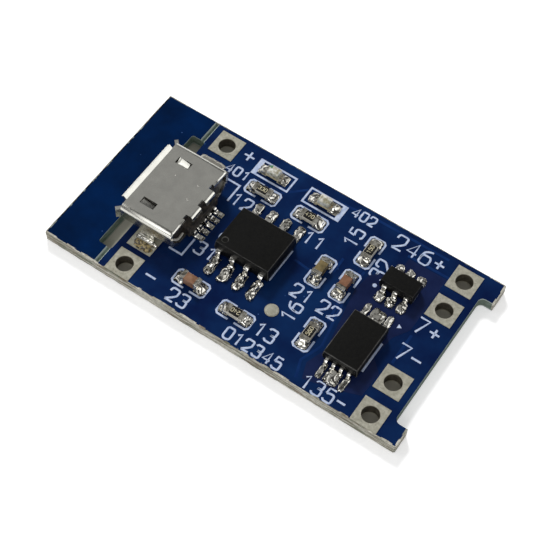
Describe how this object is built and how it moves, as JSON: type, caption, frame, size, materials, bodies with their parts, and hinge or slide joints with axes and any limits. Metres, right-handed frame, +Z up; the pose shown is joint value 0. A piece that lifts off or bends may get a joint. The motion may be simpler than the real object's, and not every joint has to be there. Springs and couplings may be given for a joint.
{
  "type": "lithium battery charger module",
  "caption": "Blue charger board for a lithium cell: micro USB socket, charger and protection chips, plated wire holes and a scored break-off end strip.",
  "frame": {"origin": "centre of the board's outline, level with the faces it rests on", "axes": "+X from the socket end to the output end, +Y to the long side with the lamps, +Z up from the board's component side"},
  "size_m": [0.0312, 0.016, 0.0038],
  "materials": {
    "solder_mask": "glossy blue solder mask on glass-epoxy laminate",
    "tinned_copper": "hot-air levelled tin on copper, dull and speckled",
    "board_print": "white screen print, bluish where thin",
    "plated_shell": "nickel-plated folded steel sheet",
    "socket_insulator": "black glass-filled moulding",
    "tinned_lead": "bright tin plate",
    "chip_moulding": "black epoxy moulding, finely textured",
    "resistor_ceramic": "white alumina",
    "resistor_glaze": "black overglaze",
    "capacitor_ceramic": "sintered brown ceramic",
    "pale_capacitor_ceramic": "sintered tan ceramic",
    "led_laminate": "cream laminate",
    "led_resin": "cast clear resin over a yellowish chip",
    "solder": "bright reflowed solder"
  },
  "bodies": {
    "root": {"circuit_board": "solder_mask", "input_positive_terminal": "tinned_copper", "input_negative_terminal": "tinned_copper", "output_positive_terminal": "tinned_copper", "battery_positive_terminal": "tinned_copper", "battery_negative_terminal": "tinned_copper", "output_negative_terminal": "tinned_copper", "test_pad": "tinned_copper", "component_lands": "tinned_copper", "printed_outlines": "board_print", "usb_shell": "plated_shell", "usb_insulator": "socket_insulator", "usb_contact_1": "tinned_lead", "usb_contact_2": "tinned_lead", "usb_contact_3": "tinned_lead", "usb_contact_4": "tinned_lead", "usb_contact_5": "tinned_lead", "charger_chip_body": "chip_moulding", "charger_chip_lead_1": "tinned_lead", "charger_chip_lead_2": "tinned_lead", "charger_chip_lead_3": "tinned_lead", "charger_chip_lead_4": "tinned_lead", "charger_chip_lead_5": "tinned_lead", "charger_chip_lead_6": "tinned_lead", "charger_chip_lead_7": "tinned_lead", "charger_chip_lead_8": "tinned_lead", "protection_chip_body": "chip_moulding", "protection_chip_lead_1": "tinned_lead", "protection_chip_lead_2": "tinned_lead", "protection_chip_lead_3": "tinned_lead", "protection_chip_lead_4": "tinned_lead", "protection_chip_lead_5": "tinned_lead", "protection_chip_lead_6": "tinned_lead", "switch_chip_body": "chip_moulding", "switch_chip_lead_1": "tinned_lead", "switch_chip_lead_2": "tinned_lead", "switch_chip_lead_3": "tinned_lead", "switch_chip_lead_4": "tinned_lead", "switch_chip_lead_5": "tinned_lead", "switch_chip_lead_6": "tinned_lead", "switch_chip_lead_7": "tinned_lead", "switch_chip_lead_8": "tinned_lead", "resistor_1": "resistor_ceramic", "resistor_2": "resistor_ceramic", "resistor_3": "resistor_ceramic", "resistor_5": "resistor_ceramic", "resistor_6": "resistor_ceramic", "resistor_coats": "resistor_glaze", "resistor_end_caps": "tinned_lead", "capacitor_1": "pale_capacitor_ceramic", "capacitor_2": "capacitor_ceramic", "capacitor_3": "capacitor_ceramic", "capacitor_end_caps": "tinned_lead", "led_1_base": "led_laminate", "led_1_lens": "led_resin", "led_2_base": "led_laminate", "led_2_lens": "led_resin", "led_end_caps": "tinned_lead", "solder_joints": "solder"}
  },
  "joints": []
}
